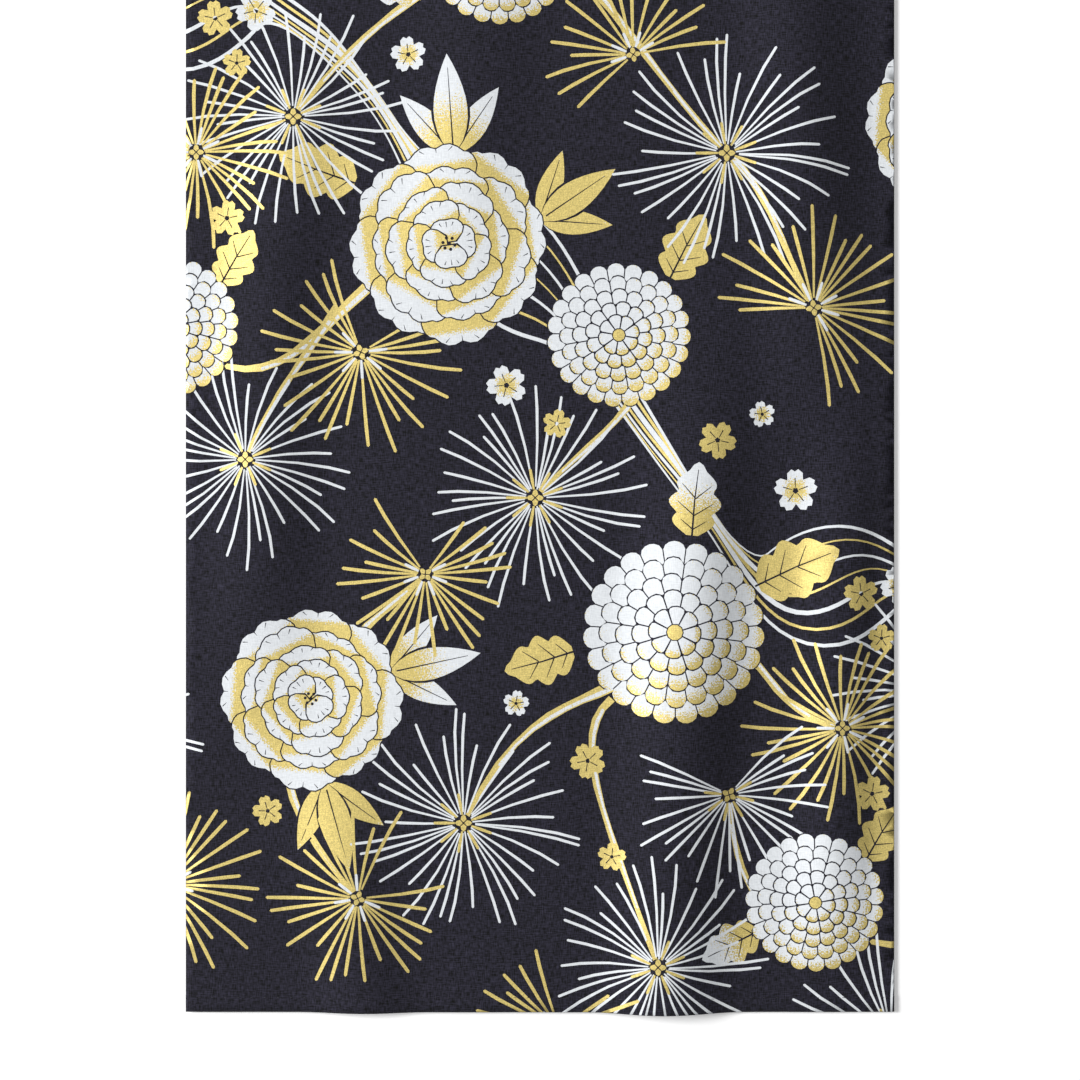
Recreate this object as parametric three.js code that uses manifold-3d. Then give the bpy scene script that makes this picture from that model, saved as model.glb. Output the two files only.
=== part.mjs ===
// A cotton yukata laid out flat with its back up, in millimetres.
// The neck points to +Y, the width lies along X and +Z is up. The cloth rests on z = 0.
// The origin is the middle of the whole outline, on the surface that the garment lies on.

import * as THREE from "three";
import { mergeVertices } from "three/addons/utils/BufferGeometryUtils.js";
import Module from "manifold-3d";

const wasm = await Module();
wasm.setup();

// Sizes of the cut. Heights up the garment are measured from the hem.
const LENGTH = 1420;
const SHOULDER_HALF = 330;
const BACK_HALF = 296.5;
const FRONT_WIDTH = 260;
const OKUMI_WIDTH = 150;
const OKUMI_TAPER = 3.5;
const OKUMI_TOP = LENGTH - 230;
const COLLAR_END = 720;
const COLLAR_WIDTH = 55;
const NECK_HALF = 88;
const ARMHOLE = 400;
const SIDE_TAPER_END = 560;
const SLEEVE_WIDTH = 350;
const SLEEVE_DROP = 490;
const CUFF_OPENING = 265;
const SLEEVE_CORNER = 50;

// Cloth, and how it stacks up
const WALL = 1.2;
const GAP = 0.3;
const PITCH = WALL + GAP;
const BAND = 2 * WALL;
const BAND_PITCH = BAND + GAP;
const FOLD = 1.2;
const CROSSING = 2 * PITCH + WALL;

// Lines of the front that several pieces share. The left side is drawn, and the right mirrors it.
const OKUMI_SEAM_X = FRONT_WIDTH - BACK_HALF;
const LAP_X = OKUMI_SEAM_X + OKUMI_WIDTH;
const COLLAR_END_X = LAP_X - OKUMI_TAPER;
const COLLAR_SEAM = [
  new THREE.Vector2(COLLAR_END_X, COLLAR_END),
  new THREE.Vector2(OKUMI_SEAM_X, OKUMI_TOP),
  new THREE.Vector2(-NECK_HALF, LENGTH),
];
const SLEEVE_INNER_X = SHOULDER_HALF + GAP;
const SLEEVE_OUTER_X = SLEEVE_INNER_X + SLEEVE_WIDTH;
const SLEEVE_BOTTOM = LENGTH - SLEEVE_DROP;
const ARMHOLE_BOTTOM = LENGTH - ARMHOLE;

// How far the right-hand pieces are lifted by the left-hand ones that they lie on: full
// lift as far as edge, then down to the floor over run. One row for each height up the garment.
const LEFT_STACK = [
  { y: 0, lift: PITCH, edge: 118, run: 40 },
  { y: 680, lift: PITCH, edge: 118, run: 40 },
  { y: 712, lift: BAND_PITCH, edge: 184, run: 40 },
  { y: 736, lift: BAND_PITCH, edge: 184, run: 40 },
  { y: OKUMI_TOP, lift: BAND_PITCH, edge: 46, run: 40 },
  { y: LENGTH, lift: BAND_PITCH, edge: -8, run: 30 },
];

// How far the back is lifted along its middle by the overlapping fronts and the collar,
// besides the one layer that it lies on everywhere.
const FRONT_STACK = [
  { y: 0, lift: PITCH, edge: 126, run: 70 },
  { y: 610, lift: PITCH, edge: 126, run: 70 },
  { y: 672, lift: CROSSING, edge: 192, run: 70 },
  { y: 760, lift: CROSSING, edge: 192, run: 70 },
  { y: OKUMI_TOP, lift: CROSSING, edge: 100, run: 60 },
  { y: 1290, lift: CROSSING, edge: 97, run: 50 },
  { y: 1350, lift: 3.4, edge: 95, run: 45 },
  { y: 1385, lift: 2.2, edge: 93, run: 42 },
  { y: LENGTH, lift: PITCH, edge: 92, run: 40 },
];

// Soft folds of the upper layer. Each runs up the garment from y0 to y1 with its crest at x
// where it starts, drifts sideways by slant for each millimetre, and fades out over each fade.
const BACK_FOLDS = [
  { x: 104, slant: 0.06, half: 66, height: 15, y0: 0, y1: 330, fadeIn: 0, fadeOut: 330 },
  { x: 246, slant: 0.03, half: 44, height: 10, y0: 170, y1: 350, fadeIn: 200, fadeOut: 200 },
  { x: 226, slant: -0.04, half: 62, height: 12, y0: 640, y1: 900, fadeIn: 190, fadeOut: 260 },
  { x: -232, slant: 0.05, half: 58, height: 8, y0: 420, y1: 620, fadeIn: 230, fadeOut: 220 },
  { x: -150, slant: -0.12, half: 54, height: 7, y0: 0, y1: 90, fadeIn: 0, fadeOut: 190 },
  { x: -60, slant: 0.1, half: 70, height: 6, y0: 760, y1: 980, fadeIn: 240, fadeOut: 220 },
  { x: 214, slant: 0.18, half: 52, height: 9, y0: 1130, y1: 1250, fadeIn: 120, fadeOut: 130 },
  { x: -222, slant: -0.2, half: 50, height: 8, y0: 1100, y1: 1230, fadeIn: 110, fadeOut: 140 },
];

// Folds of each sleeve's upper layer, with x measured from the armhole seam towards the cuff
const SLEEVE_FOLDS = {
  left: [
    { x: 96, slant: 0.16, half: 46, height: 8, y0: 1060, y1: 1220, fadeIn: 100, fadeOut: 150 },
    { x: 236, slant: -0.1, half: 52, height: 10, y0: 1080, y1: 1260, fadeIn: 110, fadeOut: 120 },
  ],
  right: [
    { x: 74, slant: 0.2, half: 44, height: 7, y0: 1090, y1: 1230, fadeIn: 120, fadeOut: 140 },
    { x: 180, slant: 0.12, half: 50, height: 9, y0: 1040, y1: 1180, fadeIn: 90, fadeOut: 170 },
    { x: 292, slant: -0.08, half: 36, height: 6, y0: 1150, y1: 1270, fadeIn: 110, fadeOut: 110 },
  ],
};

// Spacing of the points that carry a curved layer
const STEP_X = 17;
const STEP_Y = 58;
const SLEEVE_STEP_X = 19;
const SLEEVE_STEP_Y = 40;
const CORNER_SEGMENTS = 8;
const PRISM_FLOOR = -10;
const PRISM_HEIGHT = 80;

const CLOTH_COLOR = 0x2d2b32;
const CLOTH_ROUGHNESS = 0.9;

// Heights

function clamp01(value) {
  return Math.min(1, Math.max(0, value));
}

function smooth(value) {
  const t = clamp01(value);
  return t * t * (3 - 2 * t);
}

// One column of a table, read between its rows at height y
function readTable(table, y, column) {
  const last = table[table.length - 1];
  if (y <= table[0].y) return table[0][column];
  if (y >= last.y) return last[column];
  const upper = table.findIndex((row) => row.y >= y);
  const [a, b] = [table[upper - 1], table[upper]];
  return a[column] + ((b[column] - a[column]) * (y - a.y)) / (b.y - a.y);
}

function stackLift(table, x, y) {
  const beyond = x - readTable(table, y, "edge");
  return readTable(table, y, "lift") * (1 - clamp01(beyond / readTable(table, y, "run")));
}

function foldHeight(folds, x, y) {
  let height = 0;
  for (const fold of folds) {
    const crest = fold.x + fold.slant * (y - fold.y0);
    const across = Math.abs(x - crest) / fold.half;
    if (across >= 1) continue;
    const start = fold.fadeIn > 0 ? smooth(1 - (fold.y0 - y) / fold.fadeIn) : 1;
    const end = smooth(1 - (y - fold.y1) / fold.fadeOut);
    height += fold.height * start * end * 0.5 * (1 + Math.cos(Math.PI * across));
  }
  return height;
}

const overLeft = (x, y) => stackLift(LEFT_STACK, x, y);

function underBack(x, y) {
  const edge = smooth((BACK_HALF - Math.abs(x)) / STEP_X);
  return PITCH + stackLift(FRONT_STACK, Math.abs(x), y) + edge * foldHeight(BACK_FOLDS, x, y);
}

function underSleeveTop(folds) {
  return (x, y) => PITCH + foldHeight(folds, x - SLEEVE_INNER_X, y);
}

// Solids

function toManifold(geometry) {
  geometry.deleteAttribute("normal");
  geometry.deleteAttribute("uv");
  const merged = mergeVertices(geometry);
  return new wasm.Manifold(
    new wasm.Mesh({
      numProp: 3,
      vertProperties: new Float32Array(merged.attributes.position.array),
      triVerts: new Uint32Array(merged.index.array),
    }),
  );
}

function toGeometry(solid) {
  const mesh = solid.getMesh();
  const geometry = new THREE.BufferGeometry();
  geometry.setAttribute("position", new THREE.BufferAttribute(mesh.vertProperties, 3));
  geometry.setIndex(new THREE.BufferAttribute(mesh.triVerts, 1));
  geometry.computeVertexNormals();
  return geometry;
}

function prism(outline, floor = PRISM_FLOOR, depth = PRISM_HEIGHT) {
  const shape = outline instanceof THREE.Shape ? outline : new THREE.Shape(outline);
  const geometry = new THREE.ExtrudeGeometry(shape, {
    depth,
    bevelEnabled: false,
    curveSegments: CORNER_SEGMENTS,
  });
  geometry.translate(0, 0, floor);
  return toManifold(geometry);
}

function rectangle(x0, y0, x1, y1) {
  return [
    new THREE.Vector2(x0, y0),
    new THREE.Vector2(x1, y0),
    new THREE.Vector2(x1, y1),
    new THREE.Vector2(x0, y1),
  ];
}

// Even stations from first to last, with the heights where a table bends put in among them
function stations(first, last, step, bends = []) {
  const count = Math.max(1, Math.round((last - first) / step));
  const even = Array.from({ length: count + 1 }, (_, i) => first + ((last - first) * i) / count);
  const inner = bends.filter((value) => value > first && value < last);
  const kept = even.filter((value) => inner.every((bend) => Math.abs(bend - value) > step / 3));
  return [...new Set([first, ...kept, ...inner, last])].sort((a, b) => a - b);
}

// A closed wall over a grid of points: its underside follows under(x, y) and its top over(x, y)
function wallOverGrid(columns, rows, under, over) {
  const across = columns.length;
  const face = across * rows.length;
  const points = [];
  for (const height of [under, over]) {
    for (const y of rows) {
      for (const x of columns) points.push(x, y, height(x, y));
    }
  }
  const triangles = [];
  const quad = (a, b, c, d) => triangles.push(a, b, c, a, c, d);
  for (let j = 0; j < rows.length - 1; j++) {
    for (let i = 0; i < across - 1; i++) {
      const a = j * across + i;
      const b = a + 1;
      const c = b + across;
      const d = a + across;
      quad(a, d, c, b);
      quad(face + a, face + b, face + c, face + d);
    }
  }
  const last = (rows.length - 1) * across;
  for (let i = 0; i < across - 1; i++) {
    quad(i, i + 1, face + i + 1, face + i);
    quad(last + i + 1, last + i, face + last + i, face + last + i + 1);
  }
  for (let j = 0; j < rows.length - 1; j++) {
    const a = j * across;
    const b = a + across;
    quad(b, a, face + a, face + b);
    quad(a + across - 1, b + across - 1, face + b + across - 1, face + a + across - 1);
  }
  const geometry = new THREE.BufferGeometry();
  geometry.setAttribute("position", new THREE.Float32BufferAttribute(points, 3));
  geometry.setIndex(triangles);
  return toManifold(geometry);
}

// A layer of cloth cut to an outline, on a grid that covers it
function layer(outline, columns, rows, under, thickness = WALL) {
  const over = (x, y) => under(x, y) + thickness;
  return wallOverGrid(columns, rows, under, over).intersect(prism(outline));
}

function flatLayer(outline, thickness = WALL) {
  return prism(outline, 0, thickness);
}

function mirrored(outline) {
  return outline.map((point) => new THREE.Vector2(-point.x, point.y)).reverse();
}

// Outlines

// One side of the body from the armhole's top down to the hem
function sideLine() {
  return [
    new THREE.Vector2(SHOULDER_HALF, LENGTH),
    new THREE.Vector2(SHOULDER_HALF, ARMHOLE_BOTTOM),
    new THREE.Vector2(BACK_HALF, LENGTH - SIDE_TAPER_END),
    new THREE.Vector2(BACK_HALF, 0),
  ];
}

function backOutline() {
  const right = sideLine();
  return [...right.slice().reverse(), ...mirrored(right).reverse()];
}

function leftFrontOutline() {
  const side = sideLine().map((point) => new THREE.Vector2(-point.x, point.y));
  return [
    ...side,
    new THREE.Vector2(OKUMI_SEAM_X, 0),
    new THREE.Vector2(OKUMI_SEAM_X, OKUMI_TOP),
    new THREE.Vector2(-NECK_HALF, LENGTH),
  ];
}

// Its long edge stands off the body by the seam gap, and its top tapers along the collar seam.
function leftOkumiOutline() {
  const seamSlope = (OKUMI_TOP - COLLAR_END) / (COLLAR_END_X - OKUMI_SEAM_X);
  return [
    new THREE.Vector2(OKUMI_SEAM_X + GAP, 0),
    new THREE.Vector2(LAP_X, 0),
    new THREE.Vector2(COLLAR_END_X, COLLAR_END),
    new THREE.Vector2(OKUMI_SEAM_X + GAP, OKUMI_TOP - GAP * seamSlope),
  ];
}

// The collar seam moved towards the opening, mitred where it turns
function besideSeam(distance) {
  const normals = [];
  for (let i = 0; i < COLLAR_SEAM.length - 1; i++) {
    const along = COLLAR_SEAM[i + 1].clone().sub(COLLAR_SEAM[i]).normalize();
    normals.push(new THREE.Vector2(along.y, -along.x));
  }
  return COLLAR_SEAM.map((point, i) => {
    const before = normals[Math.max(0, i - 1)];
    const after = normals[Math.min(normals.length - 1, i)];
    const middle = before.clone().add(after).normalize();
    return point.clone().addScaledVector(middle, distance / middle.dot(before));
  });
}

// The corner where the free edge of the folded collar turns across the back of the neck
function neckTurn() {
  const leg = COLLAR_SEAM[2].clone().sub(COLLAR_SEAM[1]);
  const foldAngle = leg.angle() / 2;
  const rise = COLLAR_WIDTH - GAP;
  return new THREE.Vector2(-NECK_HALF + GAP + rise / Math.tan(foldAngle), LENGTH + COLLAR_WIDTH);
}

function neckStart() {
  return new THREE.Vector2(-NECK_HALF + GAP, LENGTH + GAP);
}

function leftCollarOutline() {
  const seam = besideSeam(GAP);
  const free = besideSeam(COLLAR_WIDTH);
  return [free[0], free[1], neckTurn(), neckStart(), seam[1], seam[0]];
}

function sleeveOutline(inset = 0) {
  const left = SLEEVE_INNER_X + inset;
  const right = SLEEVE_OUTER_X - inset;
  const bottom = SLEEVE_BOTTOM + inset;
  const top = LENGTH - inset;
  const shape = new THREE.Shape();
  shape.moveTo(left, top);
  shape.lineTo(left, bottom);
  const corner = new THREE.Vector2(SLEEVE_OUTER_X - SLEEVE_CORNER, SLEEVE_BOTTOM + SLEEVE_CORNER);
  shape.absarc(corner.x, corner.y, SLEEVE_CORNER - inset, -Math.PI / 2, 0, false);
  shape.lineTo(right, top);
  shape.closePath();
  return shape;
}

// Pieces

// Back and fronts are one length of cloth, so they are joined along the shoulder folds.
function makeBody() {
  const backColumns = stations(-SHOULDER_HALF, SHOULDER_HALF, STEP_X, [-BACK_HALF, BACK_HALF]);
  const backRows = stations(0, LENGTH, STEP_Y, FRONT_STACK.map((row) => row.y));
  const back = layer(backOutline(), backColumns, backRows, underBack);

  const frontColumns = stations(-OKUMI_SEAM_X - STEP_X, SHOULDER_HALF, STEP_X);
  const frontRows = stations(0, LENGTH, STEP_Y, LEFT_STACK.map((row) => row.y));
  const left = flatLayer(leftFrontOutline());
  const right = layer(mirrored(leftFrontOutline()), frontColumns, frontRows, overLeft);

  const foldRows = [LENGTH - FOLD, LENGTH];
  const backTop = (x, y) => underBack(x, y) + WALL / 2;
  const folds = [-1, 1].map((side) => {
    const [x0, x1] = side < 0 ? [-SHOULDER_HALF, -NECK_HALF] : [NECK_HALF, SHOULDER_HALF];
    const columns = backColumns.filter((x) => x > x0 && x < x1);
    return wallOverGrid([x0, ...columns, x1], foldRows, () => WALL / 2, backTop);
  });
  return back.add(left).add(right).add(folds[0]).add(folds[1]);
}

function makeRightOkumi() {
  const columns = stations(-LAP_X, -OKUMI_SEAM_X, STEP_X);
  const rows = stations(0, OKUMI_TOP, 2 * STEP_Y, LEFT_STACK.map((row) => row.y));
  return layer(mirrored(leftOkumiOutline()), columns, rows, overLeft);
}

// The strip lies folded double beside each front edge, turns over at each end of the neck
// slit and crosses the back of the neck on top of its own ends.
function makeCollar() {
  const outline = leftCollarOutline();
  const left = flatLayer(outline, BAND);
  const reach = besideSeam(COLLAR_WIDTH)[0].x + STEP_X;
  const columns = stations(-reach, reach, STEP_X);
  const rows = stations(COLLAR_END, LENGTH + COLLAR_WIDTH, STEP_Y, LEFT_STACK.map((row) => row.y));
  const right = layer(mirrored(outline), columns, rows, overLeft, BAND);
  const turn = neckTurn();
  const start = neckStart();
  const neck = [start, turn, ...mirrored([start, turn])];
  const across = prism(neck.reverse(), BAND_PITCH, BAND);
  const inward = new THREE.Vector2(turn.y - start.y, start.x - turn.x).normalize().multiplyScalar(BAND);
  const fold = [start, turn, turn.clone().add(inward), start.clone().add(inward)];
  const kept = prism(rectangle(-NECK_HALF, LENGTH + GAP, NECK_HALF, LENGTH + COLLAR_WIDTH));
  const leftFold = prism(fold.slice().reverse(), 0, BAND_PITCH + BAND).intersect(kept);
  const rightFold = prism(mirrored(fold.slice().reverse()), 0, BAND_PITCH + BAND).intersect(kept);
  return left.add(right).add(across).add(leftFold).add(rightFold);
}

// A flattened tube: folded at the top, sewn along the bottom, at the wrist below the cuff
// opening and at the armhole below the seam, and open elsewhere.
function makeSleeve(side, folds) {
  const under = underSleeveTop(folds);
  const columns = stations(SLEEVE_INNER_X, SLEEVE_OUTER_X, SLEEVE_STEP_X);
  const rows = stations(SLEEVE_BOTTOM, LENGTH, SLEEVE_STEP_Y);
  const outline = sleeveOutline();
  const lower = flatLayer(outline);
  const upper = layer(outline, columns, rows, under);
  const cuffBottom = LENGTH - CUFF_OPENING;
  const innerCut = rectangle(SLEEVE_INNER_X - 1, ARMHOLE_BOTTOM, SLEEVE_INNER_X + 2 * FOLD, LENGTH - FOLD);
  const cuffCut = rectangle(SLEEVE_OUTER_X - 2 * FOLD, cuffBottom, SLEEVE_OUTER_X + 1, LENGTH - FOLD);
  const rimTop = (x, y) => under(x, y) + WALL / 2;
  const rim = wallOverGrid(columns, rows, () => WALL / 2, rimTop)
    .intersect(prism(outline))
    .subtract(prism(sleeveOutline(FOLD)))
    .subtract(prism(innerCut))
    .subtract(prism(cuffCut));
  const sleeve = upper.add(lower).add(rim);
  return side > 0 ? sleeve : sleeve.mirror([1, 0, 0]);
}

const yukata = new THREE.Group();

function addPiece(name, solid) {
  const material = new THREE.MeshStandardMaterial({
    color: CLOTH_COLOR,
    roughness: CLOTH_ROUGHNESS,
    metalness: 0,
  });
  const mesh = new THREE.Mesh(toGeometry(solid), material);
  mesh.name = name;
  yukata.add(mesh);
}

addPiece("body", makeBody());
addPiece("okumi_left", flatLayer(leftOkumiOutline()));
addPiece("okumi_right", makeRightOkumi());
addPiece("collar", makeCollar());
addPiece("sleeve_left", makeSleeve(-1, SLEEVE_FOLDS.left));
addPiece("sleeve_right", makeSleeve(1, SLEEVE_FOLDS.right));

yukata.position.y = -(LENGTH + COLLAR_WIDTH) / 2;

export default yukata;
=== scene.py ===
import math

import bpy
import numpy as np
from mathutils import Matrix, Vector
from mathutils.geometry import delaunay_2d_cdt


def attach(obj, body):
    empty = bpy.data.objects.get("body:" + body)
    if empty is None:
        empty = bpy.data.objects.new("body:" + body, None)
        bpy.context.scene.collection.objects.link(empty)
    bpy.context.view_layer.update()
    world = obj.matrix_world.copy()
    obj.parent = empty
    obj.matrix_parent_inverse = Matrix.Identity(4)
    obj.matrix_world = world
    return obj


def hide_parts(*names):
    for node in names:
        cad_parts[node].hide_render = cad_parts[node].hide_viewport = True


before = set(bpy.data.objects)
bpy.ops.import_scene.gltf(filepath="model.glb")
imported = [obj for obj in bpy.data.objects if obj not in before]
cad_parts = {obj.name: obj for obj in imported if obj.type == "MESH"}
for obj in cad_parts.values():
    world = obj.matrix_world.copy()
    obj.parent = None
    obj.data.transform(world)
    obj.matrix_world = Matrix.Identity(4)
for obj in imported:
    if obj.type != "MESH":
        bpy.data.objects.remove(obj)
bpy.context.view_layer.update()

# A printed cotton yukata laid out flat with its back up. Each piece of cloth is worked out on
# its flat cut, in millimetres, and then laid in place. The print lies in the cloth's own
# surface: a panel is divided along the edges of the printed shapes, so that ink and bare
# cloth are faces of one sheet.

MM = 0.001

# Sizes of the cut, measured up from the hem
LENGTH = 1420
SHOULDER_HALF = 330
BACK_HALF = 296.5
FRONT_WIDTH = 260
OKUMI_WIDTH = 150
OKUMI_TAPER = 3.5
OKUMI_TOP = LENGTH - 230
COLLAR_END = 720
COLLAR_WIDTH = 55
NECK_HALF = 88
ARMHOLE_BOTTOM = LENGTH - 400
SIDE_TAPER_END = LENGTH - 560
SLEEVE_WIDTH = 350
SLEEVE_DROP = 490
CUFF_OPENING = 265
SLEEVE_CORNER = 50
HEM_DEPTH = 14
CUFF_DEPTH = 12

# The stack of layers, as the solids have it, and the cloth's own thickness
WALL = 1.2
GAP = 0.3
PITCH = WALL + GAP
BAND = 2 * WALL
BAND_PITCH = BAND + GAP
CROSSING = 2 * PITCH + WALL
CLOTH = 0.9
HEM_RISE = 0.5

OKUMI_SEAM_X = FRONT_WIDTH - BACK_HALF
LAP_X = OKUMI_SEAM_X + OKUMI_WIDTH
COLLAR_END_X = LAP_X - OKUMI_TAPER
SLEEVE_X = SHOULDER_HALF + GAP
SLEEVE_BOTTOM = LENGTH - SLEEVE_DROP
MIDDLE_Y = (LENGTH + COLLAR_WIDTH) / 2

# The left pieces that lie below the right front, and the fronts that lie below the back: at
# each y their lift, the x where it starts to fall away and the width that it takes
STACK_COLUMNS = ("y", "lift", "edge", "run")
LEFT_STACK = [
    (0, PITCH, 118, 40),
    (680, PITCH, 118, 40),
    (712, BAND_PITCH, 184, 40),
    (736, BAND_PITCH, 184, 40),
    (OKUMI_TOP, BAND_PITCH, 46, 40),
    (LENGTH, BAND_PITCH, -8, 30),
]
FRONT_STACK = [
    (0, PITCH, 126, 70),
    (610, PITCH, 126, 70),
    (672, CROSSING, 192, 70),
    (760, CROSSING, 192, 70),
    (OKUMI_TOP, CROSSING, 100, 60),
    (1290, CROSSING, 97, 50),
    (1350, 3.4, 95, 45),
    (1385, 2.2, 93, 42),
    (LENGTH, PITCH, 92, 40),
]

# Soft folds: crest at x where the fold starts, sideways drift for each millimetre up,
# half width, height, the stretch y0 to y1, and how far it fades in and out at its ends
FOLD_COLUMNS = ("x", "slant", "half", "height", "y0", "y1", "fade_in", "fade_out")
BACK_FOLDS = [
    (104, 0.06, 66, 15, 0, 330, 0, 330),
    (246, 0.03, 44, 10, 170, 350, 200, 200),
    (226, -0.04, 62, 12, 640, 900, 190, 260),
    (-232, 0.05, 58, 8, 420, 620, 230, 220),
    (-150, -0.12, 54, 7, 0, 90, 0, 190),
    (-60, 0.1, 70, 6, 760, 980, 240, 220),
    (214, 0.18, 52, 9, 1130, 1250, 120, 130),
    (-222, -0.2, 50, 8, 1100, 1230, 110, 140),
]
SLEEVE_FOLDS = {
    -1: [
        (96, 0.16, 46, 8, 1060, 1220, 100, 150),
        (236, -0.1, 52, 10, 1080, 1260, 110, 120),
    ],
    1: [
        (74, 0.2, 44, 7, 1090, 1230, 120, 140),
        (180, 0.12, 50, 9, 1040, 1180, 90, 170),
        (292, -0.08, 36, 6, 1150, 1270, 110, 110),
    ],
}
FINE_RISE = 0.38

# How finely the cloth is divided
STEP = 11.5
INSIDE_STEP = 1.35 * STEP
CHORD_GAP = 0.25

# The print's repeat: columns REPEAT_X apart, each half a repeat lower than the last
REPEAT_X = 540
REPEAT_Y = 963
INK_GROUND = 0
INK_PRINT = 1
GOLD = (0, 0, 1.3)
WHITE = (0, 0, -0.3)


# Heights

def smooth(value):
    t = np.clip(value, 0, 1)
    return t * t * (3 - 2 * t)


def read_table(table, y, column):
    rows = np.array(table, float)
    return np.interp(y, rows[:, 0], rows[:, STACK_COLUMNS.index(column)])


def stack_lift(table, x, y):
    beyond = (x - read_table(table, y, "edge")) / read_table(table, y, "run")
    return read_table(table, y, "lift") * smooth(1 - beyond)


def fold_height(folds, x, y):
    height = np.zeros_like(x)
    for row in folds:
        fold = dict(zip(FOLD_COLUMNS, row))
        crest = fold["x"] + fold["slant"] * (y - fold["y0"])
        across = np.minimum(1, np.abs(x - crest) / fold["half"])
        start = smooth(1 - (fold["y0"] - y) / fold["fade_in"]) if fold["fade_in"] else 1
        end = smooth(1 - (y - fold["y1"]) / fold["fade_out"])
        height += fold["height"] * start * end * 0.5 * (1 + np.cos(np.pi * across))
    return height


def fine_height(x, y):
    """Faint waves that a pressed cloth keeps, never below its own layer."""
    sway = 0.4 * np.sin(y / 91 + 0.7) + 0.3 * np.sin(y / 47 + x / 160)
    long = np.sin(x / 11.5 + sway + 0.8 * np.sin(y / 210))
    short = np.sin(x / 5.1 - 1.7 * sway + y / 160) * np.sin(y / 38 + x / 70)
    cross = np.sin(y / 23 + 0.9 * np.sin(x / 61)) * np.sin(x / 44 + 1.3)
    return FINE_RISE * (0.5 + 0.25 * long + 0.12 * short + 0.13 * cross)


def hem_rise(distance, depth):
    """The turned-in edge is thicker than the cloth above it."""
    return HEM_RISE * smooth((depth + 1 - distance) / 2)


def on_floor(x, y):
    return np.zeros_like(x)


def over_left(x, y):
    return stack_lift(LEFT_STACK, x, y)


def back_top(x, y):
    edge = smooth((BACK_HALF - np.abs(x)) / 30)
    waves = fold_height(BACK_FOLDS, x, y) + fine_height(x, y)
    shoulder = smooth((LENGTH - y) / 40)
    return PITCH + stack_lift(FRONT_STACK, np.abs(x), y) + edge * shoulder * waves + WALL


def sleeve_top(side):
    def height(x, y):
        out = side * x - SLEEVE_X
        inside = smooth((LENGTH - y) / 30) * smooth((y - SLEEVE_BOTTOM) / 30)
        sewn = smooth((y - SLEEVE_BOTTOM) / 9)
        waves = fold_height(SLEEVE_FOLDS[side], out, y) + fine_height(x, y)
        return CLOTH * 2 + 0.1 + sewn * (PITCH + WALL - CLOTH * 2 - 0.1) + inside * waves
    return height


# Placing: each function takes points of the flat cut to points of the laid garment, so that
# u to the right and v up the cut turn into the printed side's outward normal.

def folded(top, bottom, base, length):
    """A length folded across its middle: top(x, y) above and bottom(x, y) below."""
    def place(u, v):
        edge = base + length
        radius = (top(u, np.full_like(u, edge)) - bottom(u, np.full_like(u, edge))) / 2
        turn = np.clip((v - length) / radius, -np.pi / 2, np.pi / 2)
        shrink = (length - radius) / (length - radius * np.pi / 2)
        y_back = base + v * shrink
        y_front = base + (2 * length - v) * shrink
        y_turn = edge - radius + radius * np.cos(turn)
        z_turn = bottom(u, np.full_like(u, edge)) + radius * (1 - np.sin(turn))
        y = np.where(turn <= -np.pi / 2, y_back, np.where(turn >= np.pi / 2, y_front, y_turn))
        z = np.where(
            turn <= -np.pi / 2,
            top(u, y),
            np.where(turn >= np.pi / 2, bottom(u, y), z_turn),
        )
        return np.c_[u, y, z]
    return place


def body_bottom(x, y):
    return np.where(x > 0, over_left(x, y), 0.0)


def place_down(under, top_y):
    """A panel that lies with its printed side on what is below it."""
    def place(u, v):
        y = top_y - v
        return np.c_[u, y, under(u, y)]
    return place


def place_up(over):
    def place(u, v):
        return np.c_[u, v, over(u, v)]
    return place


def unit(vectors):
    return vectors / np.linalg.norm(vectors, axis=1, keepdims=True)


def outward(place, u, v, step=0.05):
    across = place(u + step, v) - place(u - step, v)
    along = place(u, v + step) - place(u, v - step)
    return unit(np.cross(across, along))


# Printed motifs. A shape is (points, ink, shade): shade (a, b, c) gives the share of gold as
# a x + b y + c, from 0, white, to 1, gold, with a stipple between.

def bare(points):
    """A shape where the cloth shows."""
    return points, INK_GROUND, WHITE


def polar(x, y, radius, angle):
    return np.array([x + radius * math.cos(angle), y + radius * math.sin(angle)])


def turned(x, y, angle, local):
    """Points given along and across a direction, moved to (x, y) and turned."""
    along, across = np.asarray(local, float).T
    c, n = math.cos(angle), math.sin(angle)
    return np.c_[x + along * c - across * n, y + along * n + across * c]


def directions(line):
    """Unit directions along a line and to its left, at each of its points."""
    along = unit(np.gradient(line, axis=0))
    return along, np.c_[-along[:, 1], along[:, 0]]


def strip(points, widths, round_end=True):
    """A line of changing width along points, with a round far end."""
    points = np.asarray(points, float)
    along, beside = directions(points)
    beside = beside * (np.asarray(widths)[:, None] / 2)
    left, right = points + beside, points - beside
    tip = [points[-1] + along[-1] * widths[-1] * 0.45] if round_end else []
    return np.array([*right, *tip, *left[::-1]])


def disc(x, y, radius, sides=8, turn=0.0):
    return np.array([polar(x, y, radius, turn + 2 * np.pi * k / sides) for k in range(sides)])


def fade(x, y, angle, gold_at, white_at):
    """Gold at one distance from (x, y) along angle and white at the other."""
    slope = -1 / (white_at - gold_at)
    a, b = slope * math.cos(angle), slope * math.sin(angle)
    return (a, b, -slope * white_at - a * x - b * y)


GOLD_LINE = 2.8
WHITE_LINE = 2.2


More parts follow.
